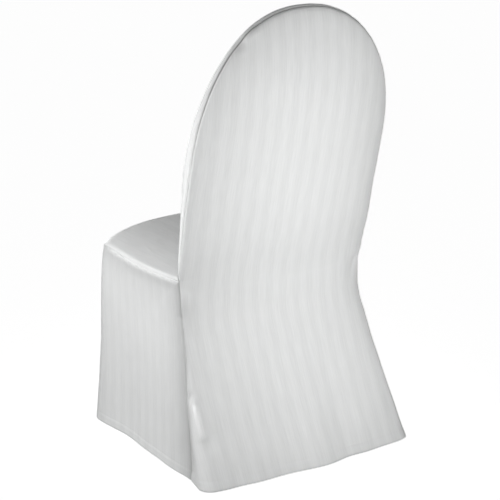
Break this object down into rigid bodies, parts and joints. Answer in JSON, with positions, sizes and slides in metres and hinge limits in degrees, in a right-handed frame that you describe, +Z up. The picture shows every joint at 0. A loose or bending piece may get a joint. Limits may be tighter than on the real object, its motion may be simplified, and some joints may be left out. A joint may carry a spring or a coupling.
{
  "type": "chair cover",
  "caption": "Fitted white striped satin cover for a round-top chair, with a padded seat, a flared back and a skirt to the floor.",
  "frame": {"origin": "on the floor, under the middle of the cover", "axes": "+Z up, -Y towards the front of the seat, +Y towards the outer back, +X towards the left side skirt"},
  "size_m": [0.5508, 0.5592, 1.0057],
  "materials": {
    "striped_satin": "tone-on-tone satin stripe"
  },
  "bodies": {
    "root": {"back_panel": "striped_satin", "inner_back_panel": "striped_satin", "seat_front_panel": "striped_satin", "side_skirt_left": "striped_satin", "side_skirt_right": "striped_satin"}
  },
  "joints": []
}
